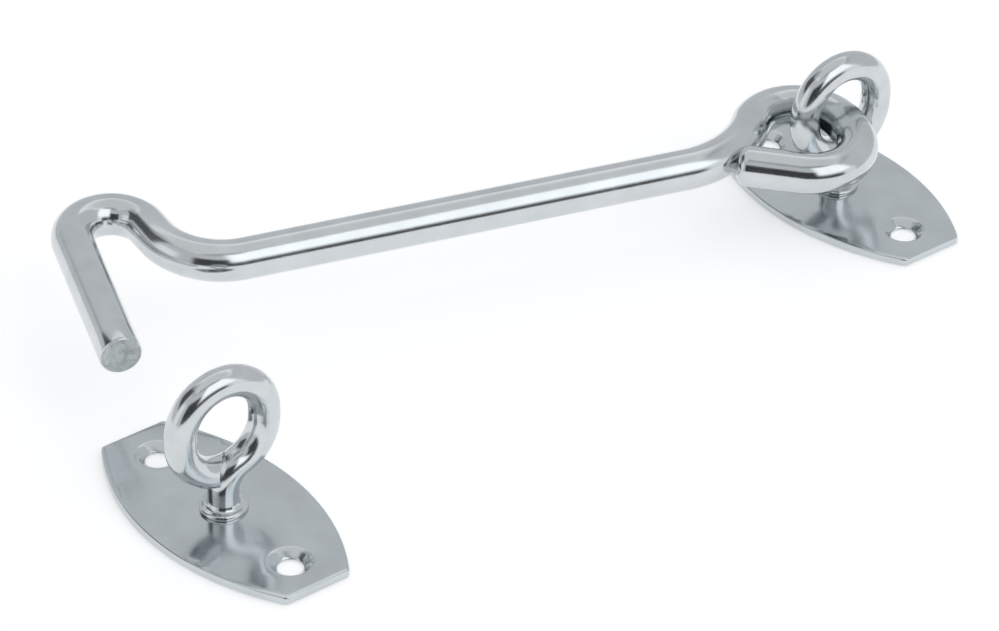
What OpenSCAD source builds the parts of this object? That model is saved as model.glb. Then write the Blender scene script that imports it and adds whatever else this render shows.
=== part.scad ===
/* [Plates] */
// Length of each mounting plate, end to end
plate_length = 55; // [50:1:64]
// Width of each plate at its middle
plate_width = 30; // [27:0.5:36]
// Width of the straight end of each plate
plate_end_width = 13.4; // [12:0.2:16]
// Sheet thickness of the plates
plate_thickness = 1.5; // [1.2:0.1:2]
// Radius of the plate corners
corner_radius = 1.2; // [0.6:0.2:2]
// Distance between the two screw holes of a plate
hole_spacing = 39; // [36:0.5:42]
// Diameter of a screw hole
screw_hole_d = 4.6; // [4:0.1:5]
// Diameter of the countersink at the top of the plate
sink_d = 7; // [6.4:0.1:8]
// Depth of the countersink
sink_depth = 0.7; // [0.5:0.1:0.8]

/* [Eyes] */
// Diameter of the wire that each eye is bent from
wire_d = 5.7; // [5:0.1:6]
// Radius of the eye's two rounds, to the middle of the wire
eye_radius = 8.5; // [8.3:0.1:9.5]
// Straight length of each side of the eye, between its rounds
eye_side = 1.3; // [1:0.1:2]
// Height of the middle of the eye's upper round above the mounting surface
eye_height = 19.4; // [19:0.1:21]
// Turn of each eye away from the line between the plates
eye_turn = -4; // [-6:0.5:0]
// Radius of the bend between the neck and the eye
neck_bend_radius = 5; // [4:0.25:6]
// Diameter of the collar that seats on the plate
collar_d = 8.6; // [7.6:0.2:10]
// Height of the collar
collar_height = 0.9; // [0.6:0.1:1.4]
// Width of the seam where the closed end of the eye meets its neck
eye_seam = 0.2; // [0.1:0.05:0.4]
// Diameter of the tail that passes through the plate
tail_d = 4.4; // [4:0.1:4.8]
// Diameter of the riveted head under the plate
rivet_d = 6.4; // [5.6:0.1:7]
// Height of the riveted head
rivet_height = 0.8; // [0.6:0.1:0.9]

/* [Hook rod] */
// Diameter of the hook rod
rod_d = 7.8; // [7:0.1:7.9]
// Straight length of the shank
shank_length = 87.5; // [70:0.5:110]
// Radius of the bend from the shank to the gooseneck
gooseneck_radius = 13.2; // [10:0.2:18]
// Angle of the bend from the shank to the gooseneck
gooseneck_angle = 80; // [70:1:84]
// Straight length between the gooseneck bend and the return bend
gooseneck_length = 3.3; // [1:0.1:8]
// Radius of the return bend at the far end of the hook
return_radius = 7.2; // [5:0.1:9]
// Angle of the return bend
return_angle = 165.8; // [160:0.1:172]
// Length of the straight leg that drops through the catch eye
leg_length = 33.1; // [26:0.1:36]
// Radius of the bend from the shank to the loop
crank_radius = 22.6; // [20:0.2:26]
// Angle of the bend from the shank to the loop
crank_angle = 53.1; // [52:0.1:55]
// Radius of the loop's bends, to the middle of the rod
loop_radius = 9.8; // [9.6:0.1:10.1]
// Straight length of the loop's far side, between its two bends
loop_side = 2.2; // [1.8:0.1:2.6]
// Angle of the loop's last bend
loop_end_angle = 120; // [118:0.5:122]
// Straight length that closes the loop against the crank
loop_end_length = 14; // [13.4:0.1:14.6]
// Width of the seam where the loop closes against the crank
loop_seam = 0.2; // [0.1:0.05:0.4]

/* [Placement] */
// Distance between the two plates along X
catch_x = 154.8; // [150:0.1:158]
// Offset of the catch plate along Y
catch_y = 13.1; // [11:0.1:15]
// X of the point where the shank meets the loop's crank
shank_x = 36.5; // [36.3:0.1:36.7]
// Y of the point where the shank meets the loop's crank
shank_y = -3.2; // [-3.4:0.1:-3]
// Height of the point where the shank meets the loop's crank
shank_z = 17.2; // [17.1:0.05:17.35]
// Direction of the hook rod, seen from above
rod_heading = -15.9; // [-40:0.1:0]
// Rise of the hook rod from the loop to the hook
rod_rise = 0.7; // [0:0.1:1]
// Roll of the hook about its own shank
rod_roll = 4.6; // [3:0.2:6]

/* [Hidden] */
$fn = 96;
plate_color = "silver";
eye_color = "lightgray";
rod_color = "gainsboro";
// Clearance between a tail and the hole in its plate
tail_clearance = 0.05;
// Length that cutting shapes run past what they cut
overrun = 1;
// The long edges of a plate are arcs of this radius
side_rise = (plate_width - plate_end_width) / 2;
side_radius = (pow(plate_length / 2, 2) + pow(side_rise, 2)) / (2 * side_rise);
side_centre = side_radius - plate_width / 2;
// Centre of a corner round, along and across the plate
corner_along = plate_length / 2 - corner_radius;
corner_across = sqrt(pow(side_radius - corner_radius, 2) - pow(corner_along, 2)) - side_centre;
corner_tilt = atan2(corner_across + side_centre, corner_along);
// The eye's bend leaves the neck at this height and meets the eye at this angle
bend_rise = sqrt(pow(eye_radius, 2) + 2 * eye_radius * neck_bend_radius);
bend_height = eye_height - eye_side - bend_rise;
bend_angle = acos(neck_bend_radius / (eye_radius + neck_bend_radius));
// The eye's wire ends just past the lowest point of its lower round
eye_end_angle = 93;
// Turn that opens a seam in front of the free end, and the turn of the notch under it
seam_angle = asin(eye_seam / eye_radius);
notch_angle = 40;
// The neck starts inside its collar, and the tail ends above that start
neck_start = plate_thickness + collar_height / 3;
tail_end = plate_thickness + collar_height / 2;
// Rods thin slightly in a bend, and a straight run laps this far into the bends beside it
bend_thinning = 0.03;
join_lap = 0.2;

// Step kinds of a bent rod: a straight run or a bend
STRAIGHT = 0;
BEND = 1;
// The hook rod runs both ways from the start of its shank
out_path = [
    [STRAIGHT, shank_length],
    [BEND, gooseneck_radius, -gooseneck_angle],
    [STRAIGHT, gooseneck_length],
    [BEND, return_radius, return_angle],
    [STRAIGHT, leg_length]
];
crank = [BEND, crank_radius, crank_angle];
loop_path = [
    [STRAIGHT, 0],
    [BEND, loop_radius, -90 - crank_angle],
    [STRAIGHT, loop_side],
    [BEND, loop_radius, -loop_end_angle]
];
loop_end = [STRAIGHT, loop_end_length];
// The eye's wire runs up its neck and round the eye to its free end
neck_path = [
    [STRAIGHT, bend_height - neck_start],
    [BEND, neck_bend_radius, bend_angle]
];
eye_path = [
    [STRAIGHT, 0],
    [BEND, eye_radius, -bend_angle],
    [STRAIGHT, eye_side],
    [BEND, eye_radius, -180],
    [STRAIGHT, eye_side]
];
eye_end = [BEND, eye_radius, -eye_end_angle];
before_notch = [BEND, eye_radius, notch_angle - eye_end_angle];

// Straight round bar along +X, run on at each end by a given length
module bar(length, diameter, before, after) {
    translate([-before, 0, 0])
        rotate([0, 90, 0])
            cylinder(d = diameter, h = length + before + after);
}

// Bend of a round bar that starts along +X and turns left, cut short at each end
module left_bend(radius, angle, diameter, before, after) {
    first_angle = asin(before / radius);
    last_angle = asin(after / radius);
    translate([0, radius, 0])
        rotate([0, 0, first_angle - 90])
            rotate_extrude(angle = angle - first_angle - last_angle)
                translate([radius, 0])
                    circle(d = diameter);
}

// Bend to either side: a negative angle turns right
module bend(radius, angle, diameter, before = 0, after = 0) {
    if (angle > 0) left_bend(radius, angle, diameter, before, after);
    else mirror([0, 1, 0]) left_bend(radius, -angle, diameter, before, after);
}

// One step of a bent rod: laps are where it joins the steps before and after it
module step_solid(step, diameter, before = 0, after = 0) {
    if (step[0] == STRAIGHT)
        bar(step[1], diameter, before, after);
    else
        bend(step[1], step[2], diameter - bend_thinning, before / 2, after / 2);
}

// Moves the children to the end of a step
module after_step(step) {
    if (step[0] == STRAIGHT)
        translate([step[1], 0, 0]) children();
    else
        translate([step[1] * sin(abs(step[2])), sign(step[2]) * step[1] * (1 - cos(step[2])), 0])
            rotate([0, 0, step[2]]) children();
}

// Bent rod along a list of steps; it can lap into what is before and after it
module bent_rod(path, diameter, before, after, first = 0) {
    if (first < len(path)) {
        last = first == len(path) - 1;
        step_solid(path[first], diameter, first == 0 ? before : join_lap, last ? after : join_lap);
        after_step(path[first])
            bent_rod(path, diameter, before, after, first + 1);
    }
}

// Moves the children to the end of a list of steps
module after_path(path, first = 0) {
    if (first < len(path))
        after_step(path[first])
            after_path(path, first + 1) children();
    else children();
}

// What is cut from one corner of the plate to round it
module corner_cut() {
    difference() {
        polygon([
            [corner_across, corner_along],
            [corner_across, plate_length / 2 + overrun],
            [plate_end_width / 2 + overrun, plate_length / 2 + overrun],
            [plate_end_width / 2 + overrun, corner_along + overrun / 2],
            [corner_across + (corner_radius + overrun) * sin(corner_tilt),
                corner_along + (corner_radius + overrun) * cos(corner_tilt)]
        ]);
        translate([corner_across, corner_along])
            circle(r = corner_radius);
    }
}

// Plan of a plate: two arcs cut off straight at both ends
module plate_outline() {
    difference() {
        intersection() {
            translate([-side_centre, 0]) circle(r = side_radius);
            translate([side_centre, 0]) circle(r = side_radius);
            square([plate_width + overrun, plate_length], center = true);
        }
        for (x_side = [0, 1])
            for (y_side = [0, 1])
                mirror([x_side, 0])
                    mirror([0, y_side])
                        corner_cut();
    }
}

// Countersunk screw hole through the plate
module screw_hole() {
    translate([0, 0, -overrun])
        cylinder(d = screw_hole_d, h = plate_thickness + 2 * overrun);
    translate([0, 0, plate_thickness - sink_depth])
        cylinder(d1 = screw_hole_d, d2 = sink_d, h = sink_depth);
}

// Tail with its riveted head, or the hole for it when a clearance is given
module tail(clearance = 0) {
    cylinder(d = tail_d + 2 * clearance, h = tail_end);
    cylinder(d1 = rivet_d + 2 * clearance, d2 = tail_d + 2 * clearance, h = rivet_height);
}

// Mounting plate with two screw holes and a hole for the eye's tail
module plate() {
    difference() {
        linear_extrude(plate_thickness) plate_outline();
        translate([0, -hole_spacing / 2, 0]) screw_hole();
        translate([0, hole_spacing / 2, 0]) screw_hole();
        tail(tail_clearance);
    }
}

// What the free end of the eye takes out of the neck, with the seam around it
module neck_notch() {
    after_path(eye_path)
        after_step(before_notch)
            bend(eye_radius, -notch_angle - seam_angle, wire_d + 2 * eye_seam);
}

// Closed eye of bent wire on a collar, riveted through its plate
module eye() {
    rotate([0, 0, eye_turn])
        rotate([90, 0, 0])
            translate([0, neck_start])
                rotate([0, 0, 90]) {
                    difference() {
                        bent_rod(neck_path, wire_d, 0, join_lap);
                        after_path(neck_path) neck_notch();
                    }
                    after_path(neck_path)
                        bent_rod(concat(eye_path, [eye_end]), wire_d, join_lap, 0);
                }
    translate([0, 0, plate_thickness])
        cylinder(d = collar_d, h = collar_height);
    tail();
}

// Moves the children to the catch plate
module at_catch() {
    translate([catch_x, catch_y, 0]) children();
}

// Plate that the hook rod hangs from
module pivot_plate() {
    color(plate_color) plate();
}

// Eye that holds the loop of the hook rod
module pivot_eye() {
    color(eye_color) eye();
}

// Loop of the hook rod; its end is cut to sit against the crank with a seam
module loop() {
    after_step(crank)
        bent_rod(loop_path, rod_d, join_lap, join_lap);
    difference() {
        after_step(crank)
            after_path(loop_path)
                step_solid(loop_end, rod_d, join_lap);
        step_solid(crank, rod_d + 2 * loop_seam);
    }
}

// Hook rod: loop, crank, shank, gooseneck, return bend and leg
module hook_arm() {
    color(rod_color)
        translate([shank_x, shank_y, shank_z])
            rotate([0, -rod_rise, rod_heading])
                rotate([-rod_roll, 0, 0]) {
                    bent_rod(out_path, rod_d, join_lap, 0);
                    rotate([0, 0, 180]) {
                        step_solid(crank, rod_d, join_lap, join_lap);
                        loop();
                    }
                }
}

// Plate that the hook is fastened to
module catch_plate() {
    color(plate_color) at_catch() plate();
}

// Eye that the hook drops into
module catch_eye() {
    color(eye_color) at_catch() eye();
}

pivot_plate();
pivot_eye();
hook_arm();
catch_plate();
catch_eye();
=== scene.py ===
# %% [markdown]
# # A hook and eye latch
# Two stamped plates each carry a closed eye of bent wire. A bent rod hangs by its loop
# from one eye, and its leg drops through the other. Everything is bright zinc over steel,
# so the picture is made of smooth round rods and of what they reflect.

# %% Load the frame
import bpy
import bmesh
import math
from mathutils import Matrix, Vector
from mathutils.geometry import delaunay_2d_cdt


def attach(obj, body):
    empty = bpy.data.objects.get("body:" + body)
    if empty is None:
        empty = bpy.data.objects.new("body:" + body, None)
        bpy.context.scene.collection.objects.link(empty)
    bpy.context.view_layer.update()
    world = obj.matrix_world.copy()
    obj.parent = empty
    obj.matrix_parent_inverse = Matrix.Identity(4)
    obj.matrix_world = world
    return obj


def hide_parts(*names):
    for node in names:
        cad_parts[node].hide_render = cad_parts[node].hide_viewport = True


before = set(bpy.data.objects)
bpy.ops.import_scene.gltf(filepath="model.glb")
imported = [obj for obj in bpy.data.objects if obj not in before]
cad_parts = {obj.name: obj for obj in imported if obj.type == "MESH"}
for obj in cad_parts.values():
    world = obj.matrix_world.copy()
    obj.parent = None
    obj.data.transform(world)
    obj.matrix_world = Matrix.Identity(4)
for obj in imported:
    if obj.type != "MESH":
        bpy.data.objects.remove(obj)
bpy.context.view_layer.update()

# %% [markdown]
# The latch is measured in millimetres and Blender works in metres, so every size below is
# written in millimetres times one named value. Angles are in degrees.

# %% Sizes
MM = 0.001
PLATE = dict(length=55 * MM, width=30 * MM, end=13.4 * MM, sheet=1.5 * MM, corner=1.2 * MM)
HOLE_SPACING = 39 * MM
HOLE_RADIUS = 2.3 * MM
WIRE_RADIUS = 2.85 * MM
ROD_RADIUS = 3.9 * MM
EYE_RADIUS = 8.5 * MM
EYE_SIDE = 1.3 * MM
EYE_HEIGHT = 19.4 * MM
EYE_TURN = math.radians(-4)
NECK_BEND = 5 * MM
SHANK_LENGTH = 87.5 * MM
GOOSENECK_RADIUS, GOOSENECK_ANGLE, GOOSENECK_LENGTH = 13.2 * MM, 80, 3.3 * MM
RETURN_RADIUS, RETURN_ANGLE = 7.2 * MM, 165.8
LEG_LENGTH = 33.1 * MM
CRANK_RADIUS, CRANK_ANGLE = 22.6 * MM, 53.1
LOOP_RADIUS, LOOP_SIDE, LOOP_LAST_ANGLE = 9.8 * MM, 2.2 * MM, 120
SHANK_START = (36.5 * MM, -3.2 * MM, 17.2 * MM)
ROD_HEADING, ROD_RISE, ROD_ROLL = -15.9, 0.7, 4.6
SEAM = 0.2 * MM
STATIONS = {"pivot": Vector((0, 0, 0)), "catch": Vector((154.8 * MM, 13.1 * MM, 0))}

# %% [markdown]
# ## Paths of bent rods
# A rod bender works in steps: feed so much straight rod, then bend by an angle round a
# former. A path here is the same list of steps, walked in its own plane, and each point
# remembers which way the rod runs. Points on a bend lie every degree and a half.

# %% Walk a list of bending steps
BEND_STEP = 1.5
STRAIGHT_STEP = 4 * MM


def walk(steps, start=(0.0, 0.0), heading=0.0):
    """Points of a bent rod in its plane, the place where it ends and its heading there."""
    x, y = start
    a = math.radians(heading)
    points = [(x, y)]
    for kind, size, turn in steps:
        if kind == "straight":
            count = max(1, int(size / STRAIGHT_STEP))
            for i in range(count):
                x += math.cos(a) * size / count
                y += math.sin(a) * size / count
                points.append((x, y))
        else:
            side = 1 if turn > 0 else -1
            cx = x - size * math.sin(a) * side
            cy = y + size * math.cos(a) * side
            count = max(3, math.ceil(abs(turn) / BEND_STEP))
            for i in range(1, count + 1):
                b = a + math.radians(turn) * i / count
                points.append((cx + size * math.sin(b) * side, cy - size * math.cos(b) * side))
            a += math.radians(turn)
            x, y = points[-1]
    return points, (x, y), math.degrees(a)


def straight(length):
    return ("straight", length, 0)


def bend(radius, degrees):
    return ("bend", radius, degrees)


# A very short straight run at the end of a bend gives the last ring its true direction
LEAD = straight(0.02 * MM)


def path_object(name, points, place, cyclic=False, scales=None):
    """A curve object through the points, put in its place by a matrix."""
    curve = bpy.data.curves.new(name, "CURVE")
    curve.dimensions = "3D"
    spline = curve.splines.new("POLY")
    spline.points.add(len(points) - 1)
    for i, p in enumerate(points):
        v = place @ Vector((p[0], p[1], 0))
        spline.points[i].co = (v.x, v.y, v.z, 1)
        spline.points[i].radius = scales[i] if scales else 1
    spline.use_cyclic_u = cyclic
    obj = bpy.data.objects.new(name, curve)
    bpy.context.scene.collection.objects.link(obj)
    return obj

# %% [markdown]
# ## One recipe for every bent rod
# A rod that follows a path is what Geometry Nodes do best: a round profile is swept along
# the path. Here the rod also closes on itself, and a real one leaves a fine seam there. So
# the tree takes three paths: the main run, the short run that is trimmed, and the run whose
# swollen tube does the trimming. The trimmed part and the main run are joined at the end. The
# trimmed run is a hair thinner, so that it hides inside the main run where they overlap.

# %% Build the swept rod tree
THINNER = -0.01 * MM


def rod_tree():
    tree = bpy.data.node_groups.new("closed bent rod", "GeometryNodeTree")
    face = tree.interface
    for label, kind in (("Main path", "NodeSocketObject"), ("Trimmed path", "NodeSocketObject"),
                        ("Trimming path", "NodeSocketObject"), ("Rod radius", "NodeSocketFloat"),
                        ("Seam", "NodeSocketFloat"), ("Sides", "NodeSocketInt"),
                        ("Finish", "NodeSocketMaterial")):
        face.new_socket(name=label, in_out="INPUT", socket_type=kind)
    face.new_socket(name="Geometry", in_out="OUTPUT", socket_type="NodeSocketGeometry")
    nodes, links = tree.nodes, tree.links
    inputs = nodes.new("NodeGroupInput")
    output = nodes.new("NodeGroupOutput")

    def swept(path, extra):
        """Tube along a path; the extra, or the seam, is added to the rod's radius."""
        info = nodes.new("GeometryNodeObjectInfo")
        links.new(inputs.outputs[path], info.inputs["Object"])
        add = nodes.new("ShaderNodeMath")
        add.operation = "ADD"
        links.new(inputs.outputs["Rod radius"], add.inputs[0])
        if extra == "Seam":
            links.new(inputs.outputs["Seam"], add.inputs[1])
        else:
            add.inputs[1].default_value = extra
        ring = nodes.new("GeometryNodeCurvePrimitiveCircle")
        links.new(inputs.outputs["Sides"], ring.inputs["Resolution"])
        links.new(add.outputs[0], ring.inputs["Radius"])
        radius = nodes.new("GeometryNodeInputNamedAttribute")
        radius.data_type = "FLOAT"
        radius.inputs["Name"].default_value = "radius"
        sweep = nodes.new("GeometryNodeCurveToMesh")
        links.new(info.outputs["Geometry"], sweep.inputs["Curve"])
        links.new(ring.outputs["Curve"], sweep.inputs["Profile Curve"])
        links.new(radius.outputs["Attribute"], sweep.inputs["Scale"])
        sweep.inputs["Fill Caps"].default_value = True
        return sweep.outputs["Mesh"]

    cut = nodes.new("GeometryNodeMeshBoolean")
    cut.operation = "DIFFERENCE"
    links.new(swept("Trimmed path", THINNER), cut.inputs["Mesh 1"])
    links.new(swept("Trimming path", "Seam"), cut.inputs["Mesh 2"])
    join = nodes.new("GeometryNodeJoinGeometry")
    links.new(cut.outputs["Mesh"], join.inputs["Geometry"])
    links.new(swept("Main path", 0.0), join.inputs["Geometry"])
    real = nodes.new("GeometryNodeRealizeInstances")
    paint = nodes.new("GeometryNodeSetMaterial")
    links.new(join.outputs["Geometry"], real.inputs["Geometry"])
    links.new(real.outputs["Geometry"], paint.inputs["Geometry"])
    links.new(inputs.outputs["Finish"], paint.inputs["Material"])
    links.new(paint.outputs["Geometry"], output.inputs["Geometry"])
    return tree


ROD_TREE = rod_tree()


def bent_rod(name, main, trimmed, trimming, radius, finish, sides=96, edge=40):
    """Runs the tree once and keeps its result as a plain mesh."""
    holder = bpy.data.objects.new(name + " holder", bpy.data.meshes.new(name + " holder"))
    bpy.context.scene.collection.objects.link(holder)
    modifier = holder.modifiers.new("rod", "NODES")
    modifier.node_group = ROD_TREE
    values = {"Main path": main, "Trimmed path": trimmed, "Trimming path": trimming,
              "Rod radius": radius, "Seam": SEAM, "Sides": sides, "Finish": finish}
    for item in ROD_TREE.interface.items_tree:
        if item.in_out == "INPUT":
            modifier[item.identifier] = values[item.name]
    bpy.context.view_layer.update()
    shaped = holder.evaluated_get(bpy.context.evaluated_depsgraph_get())
    mesh = bpy.data.meshes.new_from_object(shaped)
    mesh.name = name
    for old in (holder, main, trimmed, trimming):
        bpy.data.objects.remove(old, do_unlink=True)
    # The tree leaves an empty slot before the finish, so the list is made anew
    mesh.materials.clear()
    mesh.materials.append(finish)
    mesh.polygons.foreach_set("material_index", [0] * len(mesh.polygons))
    merge_and_smooth(mesh, edge)
    obj = bpy.data.objects.new(name, mesh)
    bpy.context.scene.collection.objects.link(obj)
    print(name, len(mesh.polygons), "faces")
    return obj


def merge_and_smooth(mesh, edge):
    """Merges doubles, shades the mesh smooth and keeps edges sharper than the angle."""
    bm = bmesh.new()
    bm.from_mesh(mesh)
    bmesh.ops.remove_doubles(bm, verts=bm.verts, dist=0.0005 * MM)
    bmesh.ops.recalc_face_normals(bm, faces=bm.faces)
    for f in bm.faces:
        f.smooth = True
    for e in bm.edges:
        if len(e.link_faces) == 2:
            e.smooth = e.calc_face_angle(0) < math.radians(edge)
    bm.to_mesh(mesh)
    bm.free()

# %% [markdown]
# ## Zinc
# Bright zinc plating is a thin bluish metal skin. On round rod it is glossy with faint draw
# lines and tiny pits; on the stamped sheet it is more satin, with cloudy patches. Both are a
# metal whose roughness and height come from noise at the size of the real marks. Object
# coordinates keep the marks still when a piece moves. A sheared end is rougher and stained.

# %% Make a zinc finish
STAIN_SPAN = (0.3, 0.7)
NOISE_SPAN = (0.6, 1.4)
STAIN_LIGHT_SHARE = 0.7


def zinc(name, colour, rough, spread, cloud_size, grain_size, grain_height, cloud_height,
         stain=0.07):
    material = bpy.data.materials.new(name)
    material.use_nodes = True
    nodes, links = material.node_tree.nodes, material.node_tree.links
    shader = nodes["Principled BSDF"]
    shader.inputs["Metallic"].default_value = 1.0
    where = nodes.new("ShaderNodeTexCoord")

    def noise(size, detail, seed):
        n = nodes.new("ShaderNodeTexNoise")
        n.noise_dimensions = "4D"
        n.inputs["Scale"].default_value = 1 / size
        n.inputs["Detail"].default_value = detail
        n.inputs["W"].default_value = seed
        links.new(where.outputs["Object"], n.inputs["Vector"])
        return n.outputs["Fac"]

    clouds = noise(cloud_size, 3, 1.7)
    grain = noise(grain_size, 4, 4.2)
    tint = nodes.new("ShaderNodeValToRGB")
    for element, position in zip(tint.color_ramp.elements, STAIN_SPAN):
        element.position = position
    tint.color_ramp.elements[0].color = [c * (1 - stain) for c in colour] + [1]
    lighter = 1 + STAIN_LIGHT_SHARE * stain
    tint.color_ramp.elements[1].color = [min(1, c * lighter) for c in colour] + [1]
    links.new(clouds, tint.inputs["Fac"])
    links.new(tint.outputs["Color"], shader.inputs["Base Color"])
    mixed = nodes.new("ShaderNodeMath")
    mixed.operation = "ADD"
    links.new(clouds, mixed.inputs[0])
    links.new(grain, mixed.inputs[1])
    spread_map = nodes.new("ShaderNodeMapRange")
    spread_map.inputs["From Min"].default_value = NOISE_SPAN[0]
    spread_map.inputs["From Max"].default_value = NOISE_SPAN[1]
    spread_map.inputs["To Min"].default_value = rough - spread
    spread_map.inputs["To Max"].default_value = rough + spread
    links.new(mixed.outputs[0], spread_map.inputs["Value"])
    links.new(spread_map.outputs["Result"], shader.inputs["Roughness"])
    wide = nodes.new("ShaderNodeBump")
    wide.inputs["Strength"].default_value = 1.0
    wide.inputs["Distance"].default_value = cloud_height
    links.new(clouds, wide.inputs["Height"])
    fine = nodes.new("ShaderNodeBump")
    fine.inputs["Strength"].default_value = 1.0
    fine.inputs["Distance"].default_value = grain_height
    links.new(grain, fine.inputs["Height"])
    links.new(wide.outputs["Normal"], fine.inputs["Normal"])
    links.new(fine.outputs["Normal"], shader.inputs["Normal"])
    return material


ROD_ZINC = zinc("zinc on drawn rod", (0.63, 0.655, 0.67), 0.15, 0.05,
                6 * MM, 0.5 * MM, 0.001 * MM, 0.03 * MM)
WIRE_ZINC = zinc("zinc on eye wire", (0.63, 0.655, 0.67), 0.15, 0.05,
                 4 * MM, 0.5 * MM, 0.001 * MM, 0.03 * MM)
PLATE_ZINC = zinc("zinc on stamped sheet", (0.60, 0.635, 0.655), 0.16, 0.05,
                  7 * MM, 0.4 * MM, 0.0005 * MM, 0.012 * MM)
CUT_ZINC = zinc("zinc on a sheared end", (0.76, 0.79, 0.78), 0.40, 0.10,
                1.1 * MM, 0.3 * MM, 0.05 * MM, 0.15 * MM, stain=0.25)

# %% [markdown]
# ## The hook rod
# The rod lies in one plane, a little rolled and tilted in space. It is walked both ways from
# the start of its shank: out to the gooseneck, the return bend and the leg, and back through
# the crank into the loop, whose end is trimmed to close against the crank.

# %% Hook rod
ROD_PLACE = (Matrix.Translation(SHANK_START)
             @ Matrix.Rotation(math.radians(ROD_HEADING), 4, "Z")
             @ Matrix.Rotation(math.radians(-ROD_RISE), 4, "Y")
             @ Matrix.Rotation(math.radians(-ROD_ROLL), 4, "X"))
out, tip, tip_heading = walk([straight(SHANK_LENGTH), bend(GOOSENECK_RADIUS, -GOOSENECK_ANGLE),
                              straight(GOOSENECK_LENGTH), bend(RETURN_RADIUS, RETURN_ANGLE),
                              straight(LEG_LENGTH)])
CRANK = bend(CRANK_RADIUS, CRANK_ANGLE)
LOOP = [CRANK, bend(LOOP_RADIUS, -90 - CRANK_ANGLE), straight(LOOP_SIDE)]
crank_points, _, _ = walk([CRANK], heading=180)
back, _, _ = walk(LOOP + [bend(LOOP_RADIUS, -LOOP_LAST_ANGLE), LEAD], heading=180)
# The loop's end starts a few degrees inside the last bend, so that no joint shows
LOOP_TUCK = 6
_, tuck, tuck_heading = walk(LOOP + [bend(LOOP_RADIUS, LOOP_TUCK - LOOP_LAST_ANGLE)], heading=180)


def ahead(point, heading, distance):
    """The point moved along its heading, in the plane of the rod."""
    a = math.radians(heading)
    return point[0] + distance * math.cos(a), point[1] + distance * math.sin(a)


# The end was pinched shut against the crank, so it is rounded off like a worn peg
LOOP_END_LENGTH = 9.8 * MM
PEG_LENGTH, PEG_STEPS, PEG_POWER, PEG_LEAST = 2.4 * MM, 16, 3, 0.05
loop_end, butt, butt_heading = walk([bend(LOOP_RADIUS, -LOOP_TUCK), straight(LOOP_END_LENGTH)],
                                    tuck, tuck_heading)
loop_scales = [1.0] * len(loop_end)
for step in range(1, PEG_STEPS + 1):
    share = step / PEG_STEPS
    loop_end.append(ahead(butt, butt_heading, PEG_LENGTH * share))
    loop_scales.append(max(PEG_LEAST, (1 - share ** PEG_POWER) ** (1 / PEG_POWER)))
# The sheared tip has a small worn edge: millimetres before the tip, and the share of the radius
TIP_WEAR = ((0.6, 1.0), (0.3, 0.985), (0.12, 0.965), (0.0, 0.935))
main_points = back[::-1] + out[1:-1]
main_scales = [1.0] * len(main_points)
for before_tip, scale in TIP_WEAR:
    main_points.append(ahead(tip, tip_heading, -before_tip * MM))
    main_scales.append(scale)
hook_rod = bent_rod("hook_rod",
                    path_object("rod run", main_points, ROD_PLACE, scales=main_scales),
                    path_object("rod loop end", loop_end, ROD_PLACE, scales=loop_scales),
                    path_object("rod crank", crank_points, ROD_PLACE), ROD_RADIUS, ROD_ZINC)
# The flat face at the tip shows the mark of the shears
hook_rod.data.materials.append(CUT_ZINC)
TIP_NEAR = 0.3 * MM
tip_point = ROD_PLACE @ Vector((tip[0], tip[1], 0))
sheared = [f for f in hook_rod.data.polygons if (f.center - tip_point).length < TIP_NEAR]
for f in sheared:
    f.material_index = 1
print("sheared faces", len(sheared))
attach(hook_rod, "arm")
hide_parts("hook_arm")

# %% [markdown]
# ## The eyes
# Each eye stands on a straight neck. A tight bend carries the wire into the ring, and its
# free end comes back under the ring to the neck. The bend touches the ring where the two
# circles meet, which fixes the bend's height and angle. So the main run is the neck and most
# of the ring, and the last part of the ring is trimmed by a slanting cut, as the real wire was
# sheared. It leaves a dark groove down the front of the neck. The ring has two short straight
# sides, which make it a little taller than it is wide.

# %% Eye wire
BEND_HEIGHT = EYE_HEIGHT - EYE_SIDE - math.sqrt(EYE_RADIUS ** 2 + 2 * EYE_RADIUS * NECK_BEND)
BEND_ANGLE = math.degrees(math.acos(NECK_BEND / (EYE_RADIUS + NECK_BEND)))
# The neck starts just inside its collar
FOOT_SINK = 0.3 * MM
FOOT = (0, PLATE["sheet"] + FOOT_SINK)
NECK = [straight(BEND_HEIGHT - FOOT[1]), bend(NECK_BEND, BEND_ANGLE)]
OVAL = [bend(EYE_RADIUS, -BEND_ANGLE), straight(EYE_SIDE), bend(EYE_RADIUS, -180),
        straight(EYE_SIDE)]


# Degrees of the last bend where the main run ends, where the free end starts, and its length
RUN_ENDS, FREE_STARTS, FREE_TURN = 48, 45, 60
# The slanting cut is the flat end of a fat, short tube
CUT_SHIFT, CUT_SLANT, CUT_LENGTH, CUT_SCALE = 0.1 * MM, 141.3, 12 * MM, 3


def eye_wire(station, where):
    place = (Matrix.Translation(where) @ Matrix.Rotation(EYE_TURN, 4, "Z")
             @ Matrix.Rotation(math.radians(90), 4, "X"))
    run, _, _ = walk(NECK + OVAL + [bend(EYE_RADIUS, -RUN_ENDS), LEAD], FOOT, 90)
    _, tuck, lean = walk(NECK + OVAL + [bend(EYE_RADIUS, -FREE_STARTS)], FOOT, 90)
    free_end, _, _ = walk([bend(EYE_RADIUS, -FREE_TURN)], tuck, lean)
    cut = (place @ Matrix.Translation((CUT_SHIFT, EYE_HEIGHT - EYE_SIDE - EYE_RADIUS, 0))
           @ Matrix.Rotation(math.radians(CUT_SLANT), 4, "Y"))
    return bent_rod(station + "_eye_wire", path_object("eye run", run, place),
                    path_object("eye free end", free_end, place),
                    path_object("eye cut", [(0, 0), (CUT_LENGTH, 0)], cut, scales=[CUT_SCALE] * 2),
                    WIRE_RADIUS, WIRE_ZINC)

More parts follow.
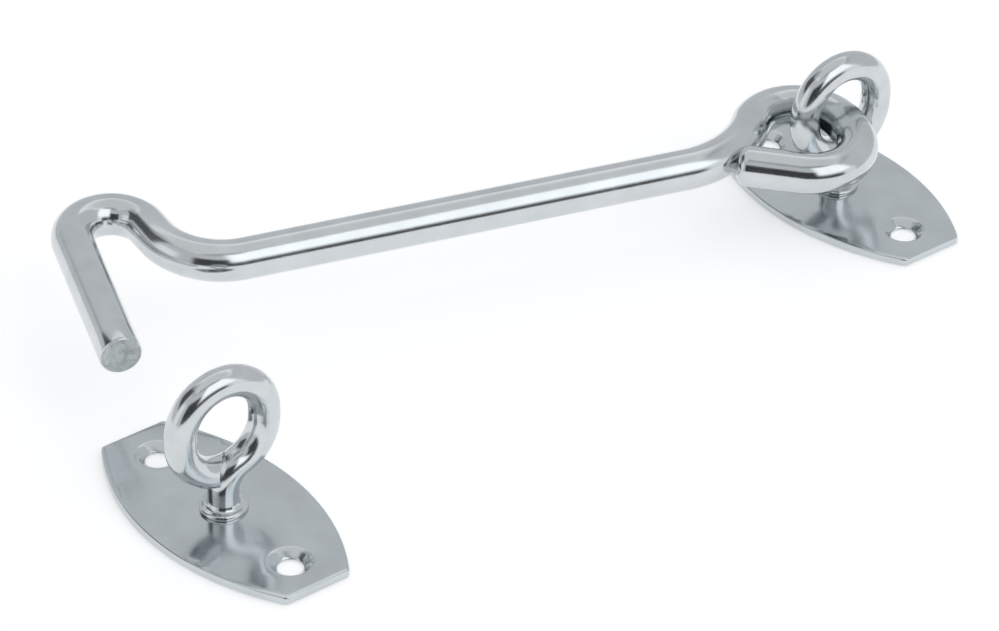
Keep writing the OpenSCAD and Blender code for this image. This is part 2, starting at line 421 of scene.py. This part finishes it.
# %% [markdown]
# The collar is where the wire was upset and staked down on its plate. It is a profile spun
# round the neck, with a slow uneven wave in its rim, because staking never leaves it round. A
# small fillet runs up into the neck, and the tail goes down through the plate to a flat head.

# %% Spin a profile
# Times round the rim, size and start of each wave; inside the inner radius there is none
RIM_WAVES = ((3, 1.0, 0.6), (5, 0.7, 2.1), (9, 0.4, 4.0))
RIM_INNER = 3.3 * MM


def spin(name, profile, where, finish, uneven, sides=144, edge=35):
    """A closed solid from (radius, height) pairs; its rim swells and sinks by the uneven share."""
    def ring_at(radius, height):
        if radius == 0:
            return [bm.verts.new((where[0], where[1], where[2] + height))]
        ring = []
        for i in range(sides):
            a = 2 * math.pi * i / sides
            wave = sum(size * math.sin(times * a + start) for times, size, start in RIM_WAVES)
            r = radius + uneven * wave * max(0.0, radius - RIM_INNER)
            ring.append(bm.verts.new((where[0] + r * math.cos(a), where[1] + r * math.sin(a),
                                      where[2] + height)))
        return ring

    bm = bmesh.new()
    rings = [ring_at(radius, height) for radius, height in profile]
    for low, high in zip(rings, rings[1:]):
        for i in range(sides):
            j = (i + 1) % sides
            quad = [low[i % len(low)], low[j % len(low)], high[j % len(high)], high[i % len(high)]]
            bm.faces.new(list(dict.fromkeys(quad)))
    mesh = bpy.data.meshes.new(name)
    bm.to_mesh(mesh)
    bm.free()
    merge_and_smooth(mesh, edge)
    mesh.materials.append(finish)
    obj = bpy.data.objects.new(name, mesh)
    bpy.context.scene.collection.objects.link(obj)
    return obj


COLLAR_UNEVEN = 0.07
COLLAR_PROFILE = [(r * MM, h * MM) for r, h in (
    (0, 0.02), (3.15, 0.02), (3.2, 0.07), (2.2, 0.82), (2.2, 1.5), (4.15, 1.5), (4.28, 1.56),
    (4.3, 1.7), (4.3, 1.95), (4.24, 2.15), (4.1, 2.3), (3.85, 2.39), (3.5, 2.46), (3.22, 2.6),
    (3.02, 2.85), (2.9, 3.2), (2.8, 3.4), (0, 3.4))]

# %% [markdown]
# ## The plates
# A plate is stamped from 1.5 mm sheet. Two arcs make its long sides, its ends are cut off
# straight, and its corners are rounded. The outline is one function with an inset, so the
# rolled edges come from the same curve drawn a little smaller and lower.

# %% Plate outline
SIDE_RISE = (PLATE["width"] - PLATE["end"]) / 2
SIDE_RADIUS = ((PLATE["length"] / 2) ** 2 + SIDE_RISE ** 2) / (2 * SIDE_RISE)
SIDE_STEPS, CORNER_STEPS = 64, 8


def plate_outline(inset):
    """Points of the outline, drawn smaller by the inset, anticlockwise."""
    half = PLATE["length"] / 2
    centre = SIDE_RADIUS - PLATE["width"] / 2
    c = PLATE["corner"]
    cy = half - c
    cx = math.sqrt((SIDE_RADIUS - c) ** 2 - cy ** 2) - centre
    tilt = math.atan2(cy, cx + centre)
    points = []
    for i in range(SIDE_STEPS + 1):
        a = -tilt + 2 * tilt * i / SIDE_STEPS
        r = SIDE_RADIUS - inset
        points.append((r * math.cos(a) - centre, r * math.sin(a)))
    for i in range(1, CORNER_STEPS + 1):
        a = tilt + (math.pi / 2 - tilt) * i / CORNER_STEPS
        points.append((cx + (c - inset) * math.cos(a), cy + (c - inset) * math.sin(a)))
    mirrored = [(-x, y) for x, y in reversed(points[SIDE_STEPS // 2 + 1:])]
    upper = points[SIDE_STEPS // 2:] + mirrored
    lower = [(-x, -y) for x, y in upper]
    return upper + lower

# %% [markdown]
# Each screw hole was punched and then pressed, which leaves a soft dimple round it. The top
# is filled with small triangles between the outline and the holes, and the height near a
# hole follows a smooth dip, so reflections bend there as they do on the real plate.

# %% Plate
# Radius and drop below the top, from the rim of a dimple to its hole
DIMPLE = [(4.4, 0.0), (4.15, 0.03), (3.9, 0.12), (3.65, 0.26), (3.4, 0.43), (3.1, 0.64),
          (2.8, 0.85), (2.55, 1.03), (2.38, 1.18), (2.3, 1.34)]
# Inset and height of the plate's edge between its underside and its top
LOW_INSET, TOP_INSET = 0.12, 0.3
EDGE = [(0.03, 0.06), (0, 0.18), (0, 1.1), (0.04, 1.27), (0.13, 1.41), (0.21, 1.47)]
# Hole for the eye's tail: radius at the top, radius and height of its waist, radius below
TAIL_TOP, TAIL_WAIST, TAIL_WAIST_HEIGHT, TAIL_LOW = 2.3, 2.25, 0.8, 3.3
# Points inside the faces: spacing, height of a row as a share of it, and distance kept off edges
GRID, ROW_SHARE, GRID_MARGIN = 1.6 * MM, 0.866, 0.5 * MM


def ring_points(x, y, radius, sides=64):
    return [(x + radius * math.cos(2 * math.pi * i / sides),
             y + radius * math.sin(2 * math.pi * i / sides)) for i in range(sides)]


def filled_face(bm, outer, holes, height):
    """Fills between an outline and holes; returns the edge vertices of each loop."""
    flat, loops = [], []
    for loop in [outer] + holes:
        first = len(flat)
        flat += [Vector(p) for p in loop]
        loops.append(list(range(first, len(flat))))
    edges = [(a, b) for loop in loops for a, b in zip(loop, loop[1:] + loop[:1])]
    rows = int(PLATE["length"] / GRID)
    for i in range(-rows, rows + 1):
        for j in range(-rows, rows + 1):
            p = Vector(((j + 0.5 * (i % 2)) * GRID, i * GRID * ROW_SHARE))
            if abs(p.x) < PLATE["width"] / 2 and inside(p, outer, GRID_MARGIN) and not any(
                    inside(p, hole, -GRID_MARGIN) for hole in holes):
                flat.append(p)
    points, _, faces, sources, _, _ = delaunay_2d_cdt(flat, edges, [], 0, 1e-7)
    verts = [bm.verts.new((p.x, p.y, height)) for p in points]
    for f in faces:
        middle = sum((points[i] for i in f), Vector((0, 0))) / len(f)
        if inside(middle, outer, 0) and not any(inside(middle, hole, 0) for hole in holes):
            bm.faces.new([verts[i] for i in f])
    found = {}
    for new, old in enumerate(sources):
        for o in old:
            found[o] = verts[new]
    print("plate face", len(faces), "triangles,", len(holes), "holes")
    return [[found[i] for i in loop] for loop in loops]


def inside(point, loop, margin):
    """True if the point is inside the loop by a margin, or near it when the margin is negative."""
    hit = False
    near = 1.0
    for (x0, y0), (x1, y1) in zip(loop, loop[1:] + loop[:1]):
        if (y0 > point.y) != (y1 > point.y):
            if point.x < (x1 - x0) * (point.y - y0) / (y1 - y0) + x0:
                hit = not hit
        if margin:
            near = min(near, math.hypot(point.x - x0, point.y - y0))
    if not margin:
        return hit
    return (hit and near > margin) if margin > 0 else (hit or near < -margin)


def plate(name, where, finish):
    t = PLATE["sheet"]
    bm = bmesh.new()
    spots = (-HOLE_SPACING / 2, HOLE_SPACING / 2)
    top_holes = [ring_points(0, y, DIMPLE[0][0] * MM) for y in spots]
    low_holes = [ring_points(0, y, HOLE_RADIUS) for y in spots]
    top_holes.append(ring_points(0, 0, TAIL_TOP * MM))
    low_holes.append(ring_points(0, 0, TAIL_LOW * MM))
    top = filled_face(bm, plate_outline(TOP_INSET * MM), top_holes, t)
    bottom = filled_face(bm, plate_outline(LOW_INSET * MM), low_holes, 0)

    def band(loops):
        for low, high in zip(loops, loops[1:]):
            n = len(low)
            for i in range(n):
                bm.faces.new([low[i], low[(i + 1) % n], high[(i + 1) % n], high[i]])

    def loop_at(points, z):
        return [bm.verts.new((x, y, z)) for x, y in points]

    edge = [bottom[0]]
    for inset, z in EDGE:
        edge.append(loop_at(plate_outline(inset * MM), z * MM))
    edge.append(top[0])
    band(edge)
    for k, y in enumerate(spots):
        wall = [top[1 + k]]
        for radius, drop in DIMPLE[1:]:
            wall.append(loop_at(ring_points(0, y, radius * MM), t - drop * MM))
        wall.append(bottom[1 + k])
        band(wall)
    waist = loop_at(ring_points(0, 0, TAIL_WAIST * MM), TAIL_WAIST_HEIGHT * MM)
    band([top[3], waist, bottom[3]])
    mesh = bpy.data.meshes.new(name)
    bm.to_mesh(mesh)
    bm.free()
    mesh.transform(Matrix.Translation(where))
    merge_and_smooth(mesh, 45)
    mesh.materials.append(finish)
    obj = bpy.data.objects.new(name, mesh)
    bpy.context.scene.collection.objects.link(obj)
    print(name, len(mesh.polygons), "faces")
    return obj

# %% Both stations
for station, where in STATIONS.items():
    wire = eye_wire(station, where)
    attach(wire, "base")
    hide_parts(station + "_eye")
    collar = spin(station + "_collar", COLLAR_PROFILE, where, WIRE_ZINC, COLLAR_UNEVEN)
    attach(collar, "base")
    sheet = plate(station + "_sheet", where, PLATE_ZINC)
    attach(sheet, "base")
    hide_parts(station + "_plate")

# %% [markdown]
# ## Floor, light and camera
# Bright metal shows the room around it, so the room is built with care. The floor is plain and
# white. To the camera and to reflections it also gives a little light of its own, which keeps it
# white without more light on the metal; the shadow of the latch still falls on it.

# %% Floor
FLOOR_HALF, FLOOR_DROP, FLOOR_MIDDLE = 4, 0.3 * MM, 80 * MM
FLOOR_SHADE, FLOOR_GLOW = 0.88, 0.4


def seen_directly(tree):
    """1 for rays from the camera, for reflections and for rays through glass, 0 for the rest."""
    path = tree.nodes.new("ShaderNodeLightPath")
    total = path.outputs["Is Camera Ray"]
    for kind in ("Is Glossy Ray", "Is Transmission Ray"):
        larger = tree.nodes.new("ShaderNodeMath")
        larger.operation = "MAXIMUM"
        tree.links.new(total, larger.inputs[0])
        tree.links.new(path.outputs[kind], larger.inputs[1])
        total = larger.outputs[0]
    return total


floor_mesh = bpy.data.meshes.new("floor")
bm = bmesh.new()
bmesh.ops.create_grid(bm, x_segments=1, y_segments=1, size=FLOOR_HALF)
bm.to_mesh(floor_mesh)
bm.free()
floor_mesh.transform(Matrix.Translation((FLOOR_MIDDLE, 0, -FLOOR_DROP)))
floor = bpy.data.objects.new("floor", floor_mesh)
bpy.context.scene.collection.objects.link(floor)
paint = bpy.data.materials.new("floor paint")
paint.use_nodes = True
matt = paint.node_tree.nodes["Principled BSDF"]
matt.inputs["Base Color"].default_value = (FLOOR_SHADE, FLOOR_SHADE, FLOOR_SHADE, 1)
matt.inputs["Roughness"].default_value = 0.9
matt.inputs["Emission Color"].default_value = (1, 1, 1, 1)
glow = paint.node_tree.nodes.new("ShaderNodeMath")
glow.operation = "MULTIPLY"
glow.inputs[1].default_value = FLOOR_GLOW
paint.node_tree.links.new(seen_directly(paint.node_tree), glow.inputs[0])
paint.node_tree.links.new(glow.outputs[0], matt.inputs["Emission Strength"])
floor_mesh.materials.append(paint)

# %% [markdown]
# The room is a world shader that depends on direction alone. A rod turns through every
# direction across its width, so each line along the real rod tells how bright one part of the
# room was. It is middle grey and darker overhead, with a bright window, two pale walls and
# three dark places. Each is a soft-edged patch, given by its direction and size in degrees.

# %% Room around the latch
world = bpy.data.worlds.new("room")
bpy.context.scene.world = world
world.use_nodes = True
room = world.node_tree
FRONT = math.radians(50.3)
WALLS, OVERHEAD = 0.68, 0.36
# Height, half height and soft edge of the dark overhead part
OVERHEAD_SPAN = (90, 32, 16)
COOL_GREY = (0.97, 1, 1.02)
# Turn from the front, height, half width and half height in degrees, edge and brightness
ROOM_PATCHES = {"pale left wall": (-60, 14, 15, 22, 8, 1.0),
                "pale right wall": (66, 6, 14, 16, 6, 1.0),
                "dark left wall": (-99, 41, 22, 21, 7, 0.10),
                "dark table edge": (28, 2, 32, 12.5, 6, 0.10),
                "window": (47, 41, 28, 19.5, 7, 1.5),
                "dark front": (-3, 14, 22, 22, 6, 0.06)}


def math_node(operation, first, second=None):
    node = room.nodes.new("ShaderNodeMath")
    node.operation = operation
    for socket, value in zip(node.inputs, (first, second)):
        if isinstance(value, bpy.types.NodeSocket):
            room.links.new(value, socket)
        elif value is not None:
            socket.default_value = value
    return node.outputs[0]


def within(angle, middle, half, edge):
    """1 where the angle is within half of the middle, falling to 0 over a soft edge."""
    away_from = math_node("ABSOLUTE", math_node("SUBTRACT", angle, math.radians(middle)))
    fade = room.nodes.new("ShaderNodeMapRange")
    fade.interpolation_type = "SMOOTHSTEP"
    fade.inputs["From Min"].default_value = math.radians(half + edge / 2)
    fade.inputs["From Max"].default_value = math.radians(half - edge / 2)
    room.links.new(away_from, fade.inputs["Value"])
    return fade.outputs["Result"]


def grey_mix(factor, first, second):
    mix = room.nodes.new("ShaderNodeMix")
    mix.data_type = "RGBA"
    room.links.new(factor, mix.inputs["Factor"])
    for socket, value in ((mix.inputs["A"], first), (mix.inputs["B"], second)):
        if isinstance(value, bpy.types.NodeSocket):
            room.links.new(value, socket)
        else:
            socket.default_value = [value * share for share in COOL_GREY] + [1]
    return mix.outputs["Result"]


direction = room.nodes.new("ShaderNodeTexCoord").outputs["Generated"]
turned = room.nodes.new("ShaderNodeVectorRotate")
turned.rotation_type = "Z_AXIS"
turned.inputs["Angle"].default_value = -FRONT
room.links.new(direction, turned.inputs["Vector"])
split = room.nodes.new("ShaderNodeSeparateXYZ")
room.links.new(turned.outputs["Vector"], split.inputs["Vector"])
height = math_node("ARCSINE", split.outputs["Z"])
turn = math_node("ARCTAN2", split.outputs["Y"], split.outputs["X"])
shade = grey_mix(within(height, *OVERHEAD_SPAN), WALLS, OVERHEAD)
for middle, high, half_width, half_height, edge, level in ROOM_PATCHES.values():
    mask = math_node("MULTIPLY", within(turn, middle, half_width, edge),
                     within(height, high, half_height, edge))
    shade = grey_mix(mask, shade, level)
camera_ray = room.nodes.new("ShaderNodeLightPath").outputs["Is Camera Ray"]
shown = grey_mix(camera_ray, shade, 1.0)
room.links.new(shown, room.nodes["Background"].inputs["Color"])
print("room patches", len(ROOM_PATCHES))

# %% [markdown]
# One large soft lamp hangs overhead. It is wide and weak, so it lays a soft shadow on the floor
# and adds only a broad pale band to the top of each rod.

# %% Lamp
LAMP_PLACE, LAMP_AIM = Vector((0.05, -0.15, 1.1)), Vector((0.08, 0, 0))
LAMP_SIZE, LAMP_POWER = (1.4, 1.2), 2.2

lamp_data = bpy.data.lights.new("soft box above", "AREA")
lamp_data.shape = "RECTANGLE"
lamp_data.size, lamp_data.size_y = LAMP_SIZE
lamp_data.energy = LAMP_POWER
lamp = bpy.data.objects.new("soft box above", lamp_data)
bpy.context.scene.collection.objects.link(lamp)
lamp.location = LAMP_PLACE
lamp.rotation_euler = (LAMP_AIM - LAMP_PLACE).to_track_quat("-Z", "Y").to_euler()

# %% [markdown]
# The camera was solved from the outlines of both plates, both eyes and the rod. Its focal
# length was found in pixels, and Blender wants it in millimetres on a sensor.

# %% Camera
SENSOR_WIDTH = 36
FOCAL_PIXELS, PICTURE_WIDTH_PIXELS = 4931.2, 999
CAMERA_PLACE = Vector((0.55754, 0.57279, 0.51493))
CAMERA_RIGHT = Vector((-0.77953, 0.62595, 0.02267))
CAMERA_DOWN = Vector((0.33946, 0.45261, -0.82456))
CAMERA_AHEAD = Vector((-0.5264, -0.63508, -0.56531))

camera_data = bpy.data.cameras.new("camera")
camera_data.sensor_width = SENSOR_WIDTH
camera_data.lens = FOCAL_PIXELS * SENSOR_WIDTH / PICTURE_WIDTH_PIXELS
camera_data.clip_start = 0.01
camera = bpy.data.objects.new("camera", camera_data)
bpy.context.scene.collection.objects.link(camera)
view = Matrix((CAMERA_RIGHT, -CAMERA_DOWN, -CAMERA_AHEAD)).transposed().to_4x4()
view.translation = CAMERA_PLACE
camera.matrix_world = view
bpy.context.scene.camera = camera
bpy.context.scene.view_settings.view_transform = "Standard"
